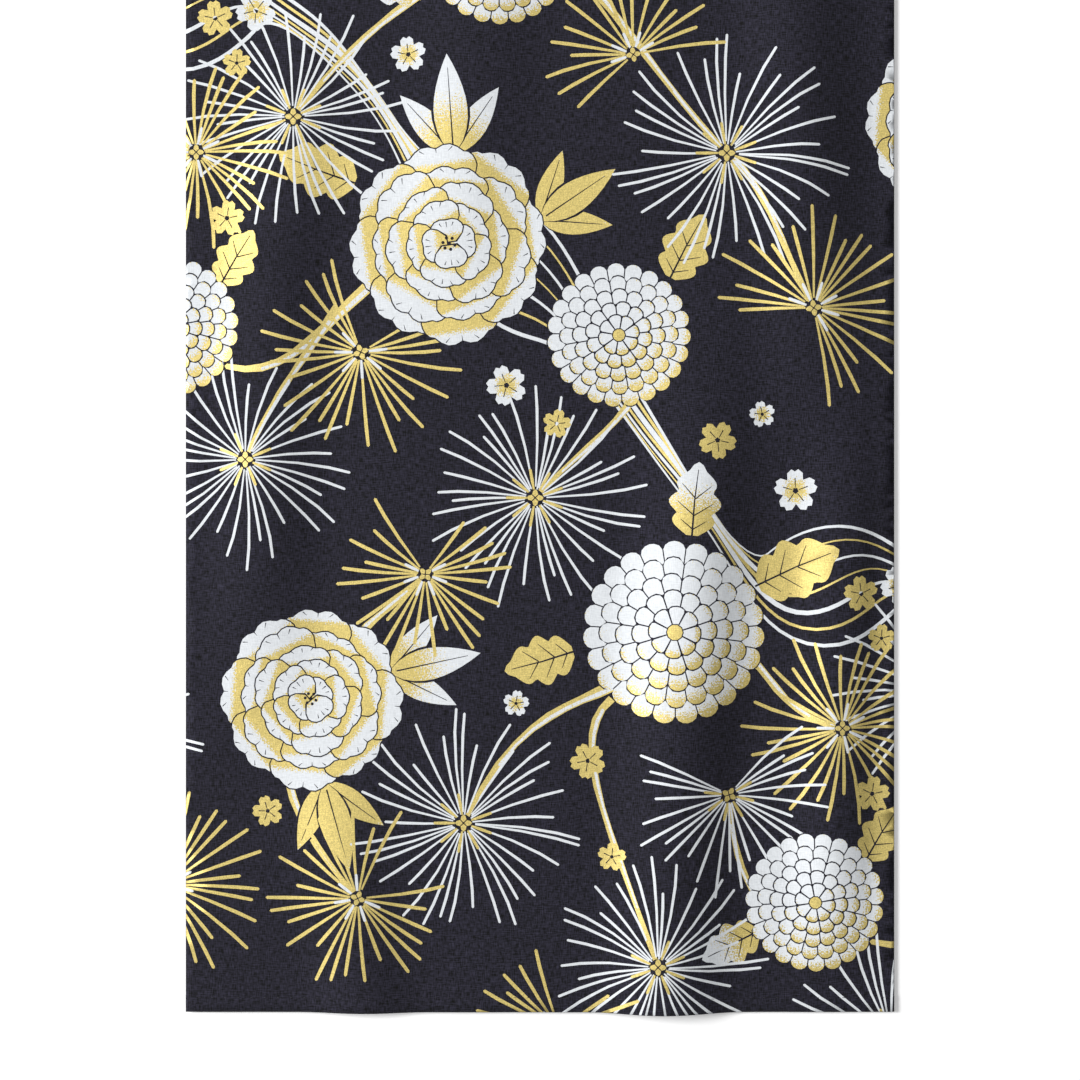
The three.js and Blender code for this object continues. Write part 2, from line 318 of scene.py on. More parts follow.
def spider_head(x, y, radius, start, sweep, count, gold, bend):
    """Long thin petals round a small button, in one ink, with short ones in the other."""
    shapes = []
    width = GOLD_LINE if gold else WHITE_LINE
    main, other = (GOLD, WHITE) if gold else (WHITE, GOLD)
    reach = (1.0, 0.82, 0.93, 0.72, 0.97)
    full = sweep >= 360
    for k in range(count):
        share = k / count if full else k / (count - 1)
        angle = math.radians(start + sweep * share) + 0.055 * math.sin(5.1 * k + x)
        length = radius * reach[k % 5] * (1 + 0.05 * math.sin(2.7 * k + y))
        stations = np.array([0.1, 0.5, 0.8, 1.0]) * length
        side = bend * (1 if full else 2 * share - 1) * (1 + 0.4 * math.sin(1.9 * k))
        line = [polar(x, y, t, angle + side * (t / radius) ** 2) for t in stations]
        widths = np.array([0.55, 0.9, 1.08, 0.95]) * width
        shapes.append((strip(line, widths), INK_PRINT, main))
    short = max(5, count // 4)
    for k in range(short):
        angle = math.radians(start + sweep * (k + 0.5) / short)
        line = [polar(x, y, t * radius, angle) for t in (0.06, 0.16, 0.26)]
        shapes.append((strip(line, [1.4, 2.6, 2.2]), INK_PRINT, other))
    return shapes + button(x, y, 0.035 * radius + 2.6, start)


def button(x, y, radius, turn):
    """Small gold buds set close together."""
    shapes = [bare(disc(x, y, radius * 1.25, 10))]
    for k in range(4):
        angle = math.radians(turn) + math.pi / 2 * k
        bud = [(0.12, 0.0), (0.5, -0.42), (0.98, -0.3), (1.2, 0.0), (0.98, 0.3), (0.5, 0.42)]
        shapes.append((turned(x, y, angle, np.array(bud) * radius), INK_PRINT, GOLD))
    return shapes


PETAL_GAP = 1.2
SIDE_GAP = 0.45
ROUND_TIP = [(0.0, 0.5), (0.5, 0.5), (0.72, 0.475), (0.87, 0.38), (0.965, 0.21)]


def round_petal(x, y, angle, inner, outer, sector):
    """A petal that fills its sector of a ring but for a narrow gap."""
    side = []
    for share, wide in ROUND_TIP:
        t = inner + share * (outer - inner)
        side.append((t, min(wide * (sector * outer - PETAL_GAP), sector / 2 * t - SIDE_GAP)))
    local = [*side, (outer, 0.0)] + [(t, -s) for t, s in reversed(side)]
    return turned(x, y, angle, local)


def round_row(x, y, row, radius, turn):
    """One ring of petals side by side, with a scalloped edge of bare cloth round it."""
    count, *shares = row
    inner, outer = (radius * share for share in shares)
    sector = 2 * math.pi / count
    rim = []
    for k in range(count):
        for share, reach in ((-0.5, 0.9), (-0.26, 0.985), (0.0, 1.0), (0.26, 0.985)):
            rim.append(polar(x, y, outer * reach + OUTLINE, turn + sector * (k + share)))
    shapes = [bare(np.array(rim))]
    for k in range(count):
        angle = turn + sector * k
        lit = 0.5 + 0.5 * math.cos(angle - SUN)
        gold_at = outer + (0.05 + 0.5 * lit) * (outer - inner)
        white_at = outer - (0.75 - 0.6 * lit) * (outer - inner)
        shade = fade(x, y, angle, gold_at, white_at)
        shapes.append((round_petal(x, y, angle, inner, outer, sector), INK_PRINT, shade))
    return shapes


def ruffled_petal(x, y, angle, inner, outer, width, lobes, rim):
    """A broad petal with a waved end; rim widens it to draw the line round it."""
    length = outer - inner
    local = [(inner - rim, 0.22 * width + rim), (inner + 0.3 * length, 0.44 * width + rim)]
    count = 4 * lobes
    for k in range(count + 1):
        turn = math.pi / 2 * (1 - 2 * k / count)
        wave = 0.085 * length * (1 - abs(math.cos(turn * lobes - (lobes % 2 - 1) * math.pi / 2)))
        t = inner + 0.55 * length + (0.45 * length - wave + rim) * math.cos(turn)
        local.append((t, (0.5 * width + rim) * math.sin(turn)))
    local += [(inner + 0.3 * length, -0.44 * width - rim), (inner - rim, -0.22 * width - rim)]
    return turned(x, y, angle, local)


def petal_veins(x, y, angle, inner, outer, width):
    """Fine lines of bare cloth that run in from a broad petal's rim."""
    shapes = []
    for k in (-1, 0, 1):
        top = outer - (0.17 + 0.06 * abs(k)) * (outer - inner)
        low = outer - (0.46 - 0.04 * abs(k)) * (outer - inner)
        ends = turned(x, y, angle, [(top, 0.22 * k * width), (low, 0.16 * k * width)])
        shapes.append(bare(strip(ends, [0.9, 0.3], False)))
    return shapes


SUN = math.radians(120)
OUTLINE = 1.1
# Rings of petals, the outermost first: their number, then their inner and outer radius and,
# for a peony, their width as shares of the flower's radius, and the waves in their rim
KIKU_ROWS = [
    (23, 0.68, 1.00),
    (20, 0.50, 0.82),
    (16, 0.34, 0.64),
    (12, 0.19, 0.46),
    (8, 0.08, 0.28),
]
PEONY_ROWS = [
    (8, 0.42, 1.00, 0.76, 4),
    (7, 0.32, 0.80, 0.68, 4),
    (6, 0.20, 0.61, 0.57, 3),
    (5, 0.10, 0.43, 0.47, 3),
    (4, 0.02, 0.26, 0.32, 2),
]


def kiku(x, y, radius, turn):
    """A formal chrysanthemum: rings of small petals that overlap like tiles."""
    shapes = []
    for level, row in enumerate(KIKU_ROWS):
        shapes += round_row(x, y, row, radius, math.radians(turn + 7 * level))
    shapes.append(bare(disc(x, y, 0.085 * radius + 0.9, 10)))
    shapes.append((disc(x, y, 0.085 * radius, 10), INK_PRINT, GOLD))
    return shapes


def peony(x, y, radius, turn):
    """Ruffled petals, each outlined in bare cloth and shaded with gold at its base."""
    shapes = [bare(disc(x, y, 0.6 * radius, 16))]
    for level, (count, start, end, width, lobes) in enumerate(PEONY_ROWS):
        below = PEONY_ROWS[level + 1][2] if level + 1 < len(PEONY_ROWS) else 0.06
        for k in range(count):
            angle = math.radians(turn) + 2 * math.pi * (k + 0.5 * (level % 2)) / count
            swell = 1 + 0.05 * math.sin(3.3 * k + 2.1 * level + x)
            inner, outer = radius * start, radius * end * swell
            shown = radius * below
            gold_at = shown + (-0.12 + 0.22 * math.sin(2.3 * k + level)) * (outer - shown)
            shade = fade(x, y, angle, gold_at, gold_at + 0.55 * (outer - shown))
            sizes = (inner, outer, radius * width, lobes)
            edge = ruffled_petal(x, y, angle, *sizes, OUTLINE)
            face = ruffled_petal(x, y, angle, *sizes, 0)
            shapes += [bare(edge), (face, INK_PRINT, shade)]
            shapes += petal_veins(x, y, angle, shown, outer, radius * width)
    for k in range(7):
        spot = polar(x, y, 0.06 * radius if k else 0, k)
        shapes.append(bare(disc(*spot, 0.018 * radius, 6)))
    return shapes


def both_sides(t, half):
    """A leaf's outline, from its half width at each point along it."""
    return np.concatenate([np.c_[t, -half], np.c_[t, half][-2::-1]])


def lobed_leaf(x, y, length, turn, gold):
    """A leaf with five round lobes and its veins left bare, shaded towards the tip."""
    angle = math.radians(turn)
    t = np.linspace(0.04, 1, 25)
    lobes = 0.70 + 0.34 * np.abs(np.sin(3.5 * np.pi * (t - 0.04)))
    half = 0.33 * np.sin(np.pi * t ** 0.85) ** 0.7 * lobes
    half[-1] = 0
    local = both_sides(t, half)
    shade = fade(x, y, angle, *((0.8, 1.7) if gold else (0.15, 0.9)) * np.array(length))
    shapes = [(turned(x, y, angle, local * length), INK_PRINT, shade)]
    rib = turned(x, y, angle, np.array([(0.0, 0), (0.5, 0.012), (0.9, 0)]) * length)
    shapes.append(bare(strip(rib, [1.7, 1.2, 0.6], False)))
    for start, end, reach in ((0.12, 0.24, 0.17), (0.3, 0.47, 0.23), (0.52, 0.70, 0.19)):
        for side in (-1, 1):
            ends = np.array([(start, 0), (end, side * reach)]) * length
            vein = strip(turned(x, y, angle, ends), [1.1, 0.5], False)
            shapes.append(bare(vein))
    return shapes


def pointed_leaves(x, y, length, turn, gold):
    """Three narrow leaves from one stalk, each split by its rib."""
    shapes = []
    for spread, share in ((-38, 0.8), (38, 0.8), (0, 1.0)):
        angle = math.radians(turn + spread)
        t = np.linspace(0.02, 1, 10)
        half = 0.17 * np.sin(np.pi * t ** 0.8) ** 0.9
        half[-1] = 0
        size = length * share
        local = both_sides(t, half) * size
        edge = local * 1.03
        edge[:, 1] *= 1.12
        shade = fade(x, y, angle, *((0.75, 1.5) if gold else (0.1, 0.8)) * np.array(size))
        shapes.append(bare(turned(x, y, angle, edge)))
        shapes.append((turned(x, y, angle, local), INK_PRINT, shade))
        rib = turned(x, y, angle, np.array([(0.08, 0), (0.86, 0)]) * size)
        shapes.append(bare(strip(rib, [1.3, 0.5], False)))
    return shapes


CHERRY_PETAL = [(0.12, 0.1), (0.5, 0.36), (0.82, 0.36), (1.0, 0.16), (0.9, 0.0)]


def cherry(x, y, radius, turn, gold):
    """A small five-petalled blossom."""
    shapes = []
    local = CHERRY_PETAL + [(t, -s) for t, s in reversed(CHERRY_PETAL[:-1])]
    for k in range(5):
        angle = math.radians(turn + 72 * k)
        shade = fade(x, y, angle, *((1.2, 2.4) if gold else (0.1, 0.8)) * np.array(radius))
        shapes.append((turned(x, y, angle, np.array(local) * radius), INK_PRINT, shade))
        line = turned(x, y, angle, np.array([(0.15, 0), (0.6, 0)]) * radius)
        shapes.append(bare(strip(line, [0.6, 0.9], False)))
    return shapes


def bezier(points, count):
    p = np.asarray(points, float)
    t = np.linspace(0, 1, count)[:, None]
    s = 1 - t
    return s**3 * p[0] + 3 * s * s * t * p[1] + 3 * s * t * t * p[2] + t**3 * p[3]


STEM_STATIONS = 14
LIT_STEM = 5


def stem(points, width, end):
    """A tapered gold stem, the broader ones with a white light along one side."""
    line = bezier(points, STEM_STATIONS)
    knots = 1 + 0.12 * np.sin(np.arange(STEM_STATIONS) * 1.9 + line[0, 0])
    taper = np.linspace(width, end, len(line)) * knots
    beside = directions(line)[1] * (0.16 * taper)[:, None]
    shapes = [(strip(line, taper), INK_PRINT, GOLD)]
    if width > LIT_STEM:
        light = strip((line + beside)[1:-2], 0.4 * taper[1:-2])
        shapes.append((light, INK_PRINT, (0, 0, 0.3)))
    return shapes


STREAM_TOP = 835
STREAM_STATIONS = 80
# Offset, width and ink of each line
STREAM_LINES = [
    (-34, 3.2, WHITE),
    (-23, 2.4, GOLD),
    (-12, 4.0, WHITE),
    (0, 3.0, GOLD),
    (11, 4.4, WHITE),
    (23, 2.4, GOLD),
    (33, 3.0, WHITE),
]


def stream():
    """Water lines that cross one repeat and run on into the next."""
    stations = np.arange(-3, STREAM_STATIONS + 3)
    x = stations * REPEAT_X / STREAM_STATIONS - REPEAT_X / 2
    share = (x + REPEAT_X / 2) / REPEAT_X
    shapes = []
    for k, (offset, width, ink) in enumerate(STREAM_LINES):
        fall = STREAM_TOP - REPEAT_Y / 2 * (share - 0.62 * np.sin(2 * np.pi * share) / (2 * np.pi))
        sway = 24 * np.sin(4 * np.pi * share + 0.12 * k) + 8 * np.sin(8 * np.pi * share + 0.5 * k)
        line = np.c_[x, fall + sway]
        gather = 0.62 + 0.38 * np.cos(4 * np.pi * share + 0.6)
        line = line + directions(line)[1] * (offset * gather)[:, None]
        widths = width * (0.7 + 0.3 * np.cos(4 * np.pi * share + 0.9 * k))
        shapes.append((strip(line, widths, False), INK_PRINT, ink))
    return shapes


# x, y, radius, first angle, sweep, petals, gold, bend
HEADS = [
    (-206, 748, 94, 0, 360, 35, False, 0.08),
    (252, 238, 80, 0, 360, 30, True, -0.07),
    (156, 718, 98, 0, 360, 36, False, -0.07),
    (78, 800, 74, 10, 210, 17, True, 0.06),
    (-246, 462, 88, 0, 360, 33, False, -0.08),
    (-150, 552, 84, 110, 280, 25, True, 0.09),
    (228, 588, 84, -80, 260, 24, True, 0.06),
    (-4, 430, 92, 0, 360, 36, False, 0.07),
    (-96, 366, 72, 130, 280, 24, True, 0.05),
    (158, 182, 82, 150, 260, 25, False, -0.06),
    (-64, 158, 94, 0, 360, 36, False, -0.08),
    (-152, 96, 76, 70, 290, 25, True, 0.06),
    (98, 40, 90, 0, 360, 35, False, 0.07),
    (16, -14, 72, 110, 280, 24, True, 0.05),
]
KIKUS = [
    (66, 566, 60, 30),
    (112, 318, 76, 12),
    (230, 92, 58, 5),
    (-34, 884, 60, 20),
]
PEONIES = [
    (-76, 642, 84, 8),
    (-192, 262, 76, 40),
]
LOBED_LEAVES = [
    (-152, 692, 70, 160, True),
    (108, 612, 62, 62, True),
    (180, 356, 76, 24, True),
    (126, 396, 64, 84, False),
    (30, 302, 62, 196, True),
    (272, 126, 54, 58, True),
    (184, 68, 54, 205, False),
    (20, 910, 56, 40, True),
    (-90, 862, 54, 190, False),
]
POINTED_LEAVES = [
    (-72, 716, 84, 94, False),
    (0, 662, 76, 34, True),
    (-126, 284, 78, 12, False),
    (-180, 192, 76, -74, True),
]
CHERRIES = [
    (-262, 664, 15, 10, True),
    (-28, 524, 17, 40, False),
    (14, 492, 12, 5, True),
    (148, 478, 16, 60, True),
    (214, 436, 18, 20, False),
    (186, 500, 11, 30, False),
    (-238, 838, 17, 50, False),
    (-254, 794, 12, 15, True),
    (-110, 800, 15, 25, False),
    (40, 210, 15, 45, True),
    (-20, 258, 11, 10, False),
    (-228, 168, 13, 35, True),
    (268, 350, 15, 25, True),
    (60, 130, 12, 12, True),
]
STEMS = [
    ((-76, 642), (-170, 620), (-190, 520), (-262, 540), 11, 5),
    ((-170, 590), (-200, 540), (-220, 520), (-246, 462), 7, 3.5),
    ((66, 566), (120, 520), (40, 480), (-4, 430), 8, 3.5),
    ((112, 318), (60, 240), (0, 290), (-64, 158), 11, 4),
    ((60, 262), (20, 230), (60, 150), (98, 40), 7, 3.5),
    ((112, 318), (200, 320), (180, 250), (252, 238), 9, 4),
    ((-192, 262), (-150, 330), (-130, 330), (-96, 366), 8, 4),
    ((-192, 262), (-240, 200), (-190, 140), (-152, 96), 8, 4),
    ((230, 92), (180, 60), (160, 130), (158, 182), 7, 4),
    ((-34, 884), (40, 900), (60, 820), (156, 718), 10, 4),
    ((-34, 884), (-110, 850), (-150, 820), (-206, 748), 8, 4),
    ((156, 718), (190, 690), (200, 640), (228, 588), 6, 4),
]


def print_repeat():
    """One repeat of the print, from the lowest shape to the topmost."""
    shapes = stream()
    for *points, width, end in STEMS:
        shapes += stem(points, width, end)
    for draw, rows in (
        (lobed_leaf, LOBED_LEAVES), (pointed_leaves, POINTED_LEAVES), (spider_head, HEADS),
        (cherry, CHERRIES), (kiku, KIKUS), (peony, PEONIES),
    ):
        for row in rows:
            shapes += draw(*row)
    return shapes


REPEAT = print_repeat()
REPEAT_LOW = np.array([points.min(axis=0) for points, _, _ in REPEAT])
REPEAT_HIGH = np.array([points.max(axis=0) for points, _, _ in REPEAT])


def shapes_over(low, high, shift, hidden_from):
    """The repeat's shapes that touch a panel, moved to where they lie on it. Those wholly
    beyond hidden_from lie face down: they have every second point of their outline, and
    fine lines are left out."""
    found = []
    first_column = int((low[0] - shift[0]) // REPEAT_X) - 1
    last_column = int((high[0] - shift[0]) // REPEAT_X) + 3
    for i in range(first_column, last_column):
        drop = -i * REPEAT_Y / 2
        first = int((low[1] - shift[1] - drop) // REPEAT_Y) - 1
        last = int((high[1] - shift[1] - drop) // REPEAT_Y) + 2
        for j in range(first, last):
            move = np.array([shift[0] + i * REPEAT_X, shift[1] + drop + j * REPEAT_Y])
            touches = ((REPEAT_HIGH + move > low) & (REPEAT_LOW + move < high)).all(axis=1)
            for k in np.flatnonzero(touches):
                points, ink, (a, b, c) = REPEAT[k]
                if REPEAT_LOW[k][1] + move[1] > hidden_from:
                    if len(points) < 5:
                        continue
                    points = points[::2] if len(points) > 7 else points
                shade = (a, b, c - a * move[0] - b * move[1])
                found.append((k, points + move, ink, shade))
    found.sort(key=lambda shape: shape[0])
    return found


# Cloth

def follow(place, shapes):
    """Divides the shapes' edges where the laid cloth curves along them."""
    for _ in range(2):
        starts = np.concatenate([outline for _, outline, _, _ in shapes])
        ends = np.concatenate([np.roll(outline, -1, axis=0) for _, outline, _, _ in shapes])
        middles = (starts + ends) / 2
        chords = (place(*starts.T) + place(*ends.T)) / 2
        bent = np.linalg.norm(place(*middles.T) - chords, axis=1) > CHORD_GAP
        divided, first = [], 0
        for number, outline, ink, shade in shapes:
            part = slice(first, first + len(outline))
            first += len(outline)
            after = np.flatnonzero(bent[part]) + 1
            outline = np.insert(outline, after, middles[part][bent[part]], axis=0)
            divided.append((number, outline, ink, shade))
        shapes = divided
    return shapes


def even_ring(outline, step):
    """The outline's corners, with even points between them."""
    ring = []
    for start, end in zip(outline, np.roll(outline, -1, axis=0)):
        count = max(1, round(float(np.linalg.norm(end - start)) / step))
        ring += [start + (end - start) * k / count for k in range(count)]
    return np.array(ring)


def inside(points, outline):
    """Which points lie within the outline."""
    x, y = points.T
    within = np.zeros(len(points), bool)
    for (x0, y0), (x1, y1) in zip(outline, np.roll(outline, -1, axis=0)):
        crosses = (y0 > y) != (y1 > y)
        if y1 != y0:
            within ^= crosses & (x < (x1 - x0) * (y - y0) / (y1 - y0) + x0)
    return within


def grid_points(outline, step):
    low, high = outline.min(axis=0), outline.max(axis=0)
    xs = np.arange(low[0] + step / 2, high[0], step)
    ys = np.arange(low[1] + step / 2, high[1], step)
    grid = np.stack(np.meshgrid(xs, ys), axis=-1).reshape(-1, 2)
    grid[:, 0] += 0.21 * step * np.sin(grid[:, 1])
    return grid[inside(grid, outline)]


def divide(ring, grid, creases, shapes):
    """Triangles of a flat panel, cut along the shapes' edges. Returns the points, the
    triangles and the number of each triangle's topmost shape, 0 for none."""
    points, edges = [], []
    for line in [ring, *(outline for _, outline, _, _ in shapes)]:
        base = len(points)
        points += [Vector(p) for p in line]
        edges += [(base + k, base + (k + 1) % len(line)) for k in range(len(line))]
    for line in creases:
        base = len(points)
        points += [Vector(p) for p in line]
        edges += [(base + k, base + k + 1) for k in range(len(line) - 1)]
    points += [Vector(p) for p in grid]
    out, _, triangles, _, _, _ = delaunay_2d_cdt(points, edges, [], 0, 1e-4, False)
    flat = np.array([tuple(p) for p in out])
    triangles = np.array([tuple(t) for t in triangles])
    centres = flat[triangles].mean(axis=1)
    triangles = triangles[inside(centres, ring)]
    corner = flat[triangles]
    centres = corner.mean(axis=1)
    order = np.argsort(centres[:, 0])
    sorted_x = centres[order, 0]
    top = np.zeros(len(triangles), int)
    for number, (_, outline, _, _) in enumerate(shapes, 1):
        low, high = outline.min(axis=0), outline.max(axis=0)
        near = order[np.searchsorted(sorted_x, low[0]):np.searchsorted(sorted_x, high[0])]
        near = near[(centres[near, 1] > low[1]) & (centres[near, 1] < high[1])]
        top[near[inside(centres[near], outline)]] = number
    used, renumbered = np.unique(triangles, return_inverse=True)
    return flat[used], renumbered.reshape(-1, 3), top


def border(triangles):
    """The loop of points round a divided panel, in order."""
    follows = {}
    sides = {(int(a), int(b)) for t in triangles for a, b in zip(t, np.roll(t, -1))}
    for a, b in sides:
        if (b, a) not in sides:
            follows[a] = b
    start = min(follows)
    loop = [start]
    while follows[loop[-1]] != start:
        loop.append(follows[loop[-1]])
    return np.array(loop)


def faces_up(flat, triangles):
    a, b, c = flat[triangles[0]]
    return (b[0] - a[0]) * (c[1] - a[1]) > (b[1] - a[1]) * (c[0] - a[0])


def lay_cloth(outline, place, shift=(0, 0), creases=(), lining_place=None, hidden_from=1e9):
    """A closed sheet: the printed side, the plain inside, and a rounded edge between them.
    With lining_place the inside is a printed side of its own."""
    outline = np.asarray(outline, float)
    ring = even_ring(outline, STEP)
    low, high = outline.min(axis=0), outline.max(axis=0)
    shapes = follow(place, shapes_over(low, high, np.asarray(shift, float), hidden_from))
    grid = grid_points(outline, STEP)
    grid = np.concatenate([grid[grid[:, 1] < hidden_from], grid[grid[:, 1] >= hidden_from][::2]])
    flat, triangles, tops = divide(ring, grid, creases, shapes)
    if not faces_up(flat, triangles):
        triangles = triangles[:, ::-1]
    inks = np.array([INK_GROUND, *(ink for _, _, ink, _ in shapes)])[tops]
    shades = np.array([WHITE, *(shade for _, _, _, shade in shapes)])[tops]
    a, b, c = shades.T[:, :, None]
    gold = a * flat[triangles][..., 0] + b * flat[triangles][..., 1] + c
    gold[inks == INK_GROUND] = 0
    loop = border(triangles)
    outer = place(*flat.T)
    outer_normal = outward(place, *flat.T)

    rim = flat[loop]
    if lining_place is None:
        inner_grid = grid_points(outline, INSIDE_STEP)
        inner_flat, inner_triangles, _ = divide(rim, inner_grid, creases, [])
        inner = place(*inner_flat.T)
        inner_normal = -outward(place, *inner_flat.T)
        inner = inner + inner_normal * CLOTH
        inner_inks = np.zeros(len(inner_triangles), int)
        inner_gold = np.zeros((len(inner_triangles), 3))
    else:
        inner_flat, inner_triangles, inner_tops = flat, triangles.copy(), tops
        inner = lining_place(*flat.T)
        inner_normal = -outward(lining_place, *flat.T)
        inner_inks, inner_gold = inks, gold[:, ::-1]
    if faces_up(inner_flat, inner_triangles):
        inner_triangles = inner_triangles[:, ::-1]
        if lining_place is None:
            inner_gold = inner_gold[:, ::-1]
    nearest = {tuple(np.round(p, 3)): k for k, p in enumerate(inner_flat)}
    inner_loop = np.array([nearest[tuple(np.round(p, 3))] for p in rim])

    count = len(flat)
    bulge, bulge_normal = edge_bulge(outer[loop], outer_normal[loop], inner[inner_loop])
    base = count + len(inner_flat)
    points = np.concatenate([outer, inner, bulge])
    cut = np.concatenate([flat, inner_flat, rim])
    middle = base + np.arange(len(loop))
    edge_faces, edge_normals = rim_faces(
        loop, middle, inner_loop + count, outer_normal, inner_normal, bulge_normal, inner_loop)
    faces = np.concatenate([triangles, inner_triangles + count, edge_faces])
    normals = np.concatenate([outer_normal[triangles], inner_normal[inner_triangles], edge_normals])
    materials = np.concatenate([inks, inner_inks, np.zeros(len(edge_faces), int)])
    golds = np.concatenate([gold, inner_gold, np.zeros((len(edge_faces), 3))])
    return {
        "points": points, "cut": cut - np.asarray(shift, float), "faces": faces,
        "normals": normals, "inks": materials, "gold": golds,
    }


EDGE_BULGE = 0.3


def edge_bulge(outer, normal, inner):
    """Points between the two sides, pushed out a little so that the edge is round."""
    along = np.roll(outer, -1, axis=0) - np.roll(outer, 1, axis=0)
    out = np.cross(along, normal)
    length = np.linalg.norm(out, axis=1, keepdims=True)
    out = out / np.maximum(length, 1e-9)
    thick = np.linalg.norm(outer - inner, axis=1, keepdims=True)
    return (outer + inner) / 2 + out * thick * EDGE_BULGE, out


def rim_faces(loop, middle, inner_loop, outer_normal, inner_normal, bulge_normal, inner_index):
    faces, normals = [], []
    count = len(loop)
    high = outer_normal[loop] + bulge_normal
    low = inner_normal[inner_index] + bulge_normal
    for k in range(count):
        n = (k + 1) % count
        faces += [(loop[k], middle[k], middle[n]), (loop[k], middle[n], loop[n])]
        normals.append((high[k], bulge_normal[k], bulge_normal[n]))
        normals.append((high[k], bulge_normal[n], high[n]))
        faces += [(middle[k], inner_loop[k], inner_loop[n]), (middle[k], inner_loop[n], middle[n])]
        normals += [(bulge_normal[k], low[k], low[n]), (bulge_normal[k], low[n], bulge_normal[n])]
    return np.array(faces), np.array(normals)


def linked(name, data):
    """A new object in the scene."""
    item = bpy.data.objects.new(name, data)
    bpy.context.scene.collection.objects.link(item)
    return item


def make_object(name, parts):
    """One mesh object from one or more laid sheets."""
    points, cut, normals, inks, gold = (
        np.concatenate([part[key] for part in parts])
        for key in ("points", "cut", "normals", "inks", "gold")
    )
    starts = np.cumsum([0, *(len(part["points"]) for part in parts[:-1])])
    faces = np.concatenate([part["faces"] + start for part, start in zip(parts, starts)])
    points[:, 1] -= MIDDLE_Y
    mesh = bpy.data.meshes.new(name)
    mesh.vertices.add(len(points))
    mesh.vertices.foreach_set("co", (points * MM).ravel())
    mesh.loops.add(faces.size)
    mesh.loops.foreach_set("vertex_index", faces.ravel().astype(np.int32))
    mesh.polygons.add(len(faces))
    mesh.polygons.foreach_set("loop_start", np.arange(0, faces.size, 3, dtype=np.int32))
    mesh.polygons.foreach_set("material_index", inks.astype(np.int32))
    mesh.update(calc_edges=True)
    cut_layer = mesh.attributes.new("cut", "FLOAT_VECTOR", "POINT")
    cut_layer.data.foreach_set("vector", np.c_[cut * MM, np.zeros(len(cut))].ravel())
    gold_layer = mesh.attributes.new("gold", "FLOAT", "CORNER")
    gold_layer.data.foreach_set("value", gold.ravel())
    for material in CLOTHS:
        mesh.materials.append(material)
    mesh.polygons.foreach_set("use_smooth", np.ones(len(faces), bool))
    loop_normals = normals.reshape(-1, 3)
    loop_normals /= np.maximum(np.linalg.norm(loop_normals, axis=1, keepdims=True), 1e-9)
    normal_layer = mesh.attributes.new("custom_normal", "FLOAT_VECTOR", "CORNER")
    normal_layer.data.foreach_set("vector", loop_normals.ravel())
    mesh.update()
    return linked(name, mesh)


THREAD_RADIUS = 0.22
STITCH_LENGTH = 3.0
STITCH_SPACING = 11.0
STITCH_STATIONS = np.array([-0.5, -0.3, 0.3, 0.5])
STITCH_SUNK = 0.1
STITCH_RAISED = 0.06
STITCH_RING = np.array([(-1, 0), (0, 1), (1, 0), (0, -0.6)])


def sew(name, rows):
    """Short stitches along each row (place, start, end), which are points of the cut."""
    points, faces = [], []
    for place, start, end in rows:
        start, end = np.array(start, float), np.array(end, float)
        long = np.linalg.norm(end - start)
        along = (end - start) / long
        across = np.array([-along[1], along[0]])
        for centre in np.arange(STITCH_SPACING / 2, long, STITCH_SPACING):
            spots = start + along * (centre + STITCH_STATIONS[:, None] * STITCH_LENGTH)
            laid = place(*spots.T)
            up = outward(place, *spots.T)
            side = unit(place(*(spots + across).T) - laid)
            base = len(points)
            points.append(laid[0] - up[0] * STITCH_SUNK)
            for k in (1, 2):
                for a, b in STITCH_RING * THREAD_RADIUS:
                    points.append(laid[k] + side[k] * a + up[k] * (b + STITCH_RAISED))
            points.append(laid[3] - up[3] * STITCH_SUNK)
            for k in range(4):
                n = (k + 1) % 4
                faces.append((base, base + 1 + n, base + 1 + k))
                faces.append((base + 9, base + 5 + k, base + 5 + n))
                faces.append((base + 1 + k, base + 1 + n, base + 5 + n, base + 5 + k))
    points = np.array(points)
    points[:, 1] -= MIDDLE_Y
    mesh = bpy.data.meshes.new(name)
    mesh.from_pydata([tuple(p) for p in points * MM], [], faces)
    mesh.polygons.foreach_set("use_smooth", np.ones(len(faces), bool))
    mesh.materials.append(THREAD)
    piece = linked(name, mesh)
    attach(piece, "root")
    return piece


# Outlines of the cut

def mirrored(outline):
    return [(-x, y) for x, y in reversed(outline)]


def body_cut():
    """The back below, both fronts above it, hanging together along the shoulders."""
    right = [
        (BACK_HALF, 0), (BACK_HALF, SIDE_TAPER_END), (SHOULDER_HALF, ARMHOLE_BOTTOM),
        (SHOULDER_HALF, LENGTH), (SHOULDER_HALF, 2 * LENGTH - ARMHOLE_BOTTOM),
        (BACK_HALF, 2 * LENGTH - SIDE_TAPER_END), (BACK_HALF, 2 * LENGTH),
        (-OKUMI_SEAM_X, 2 * LENGTH), (-OKUMI_SEAM_X, 2 * LENGTH - OKUMI_TOP), (NECK_HALF, LENGTH),
    ]
    return right + mirrored(right)


def okumi_outline():
    slope = (OKUMI_TOP - COLLAR_END) / (COLLAR_END_X - OKUMI_SEAM_X)
    return [
        (OKUMI_SEAM_X + GAP, 0), (LAP_X, 0), (COLLAR_END_X, COLLAR_END),
        (OKUMI_SEAM_X + GAP, OKUMI_TOP - GAP * slope),
    ]


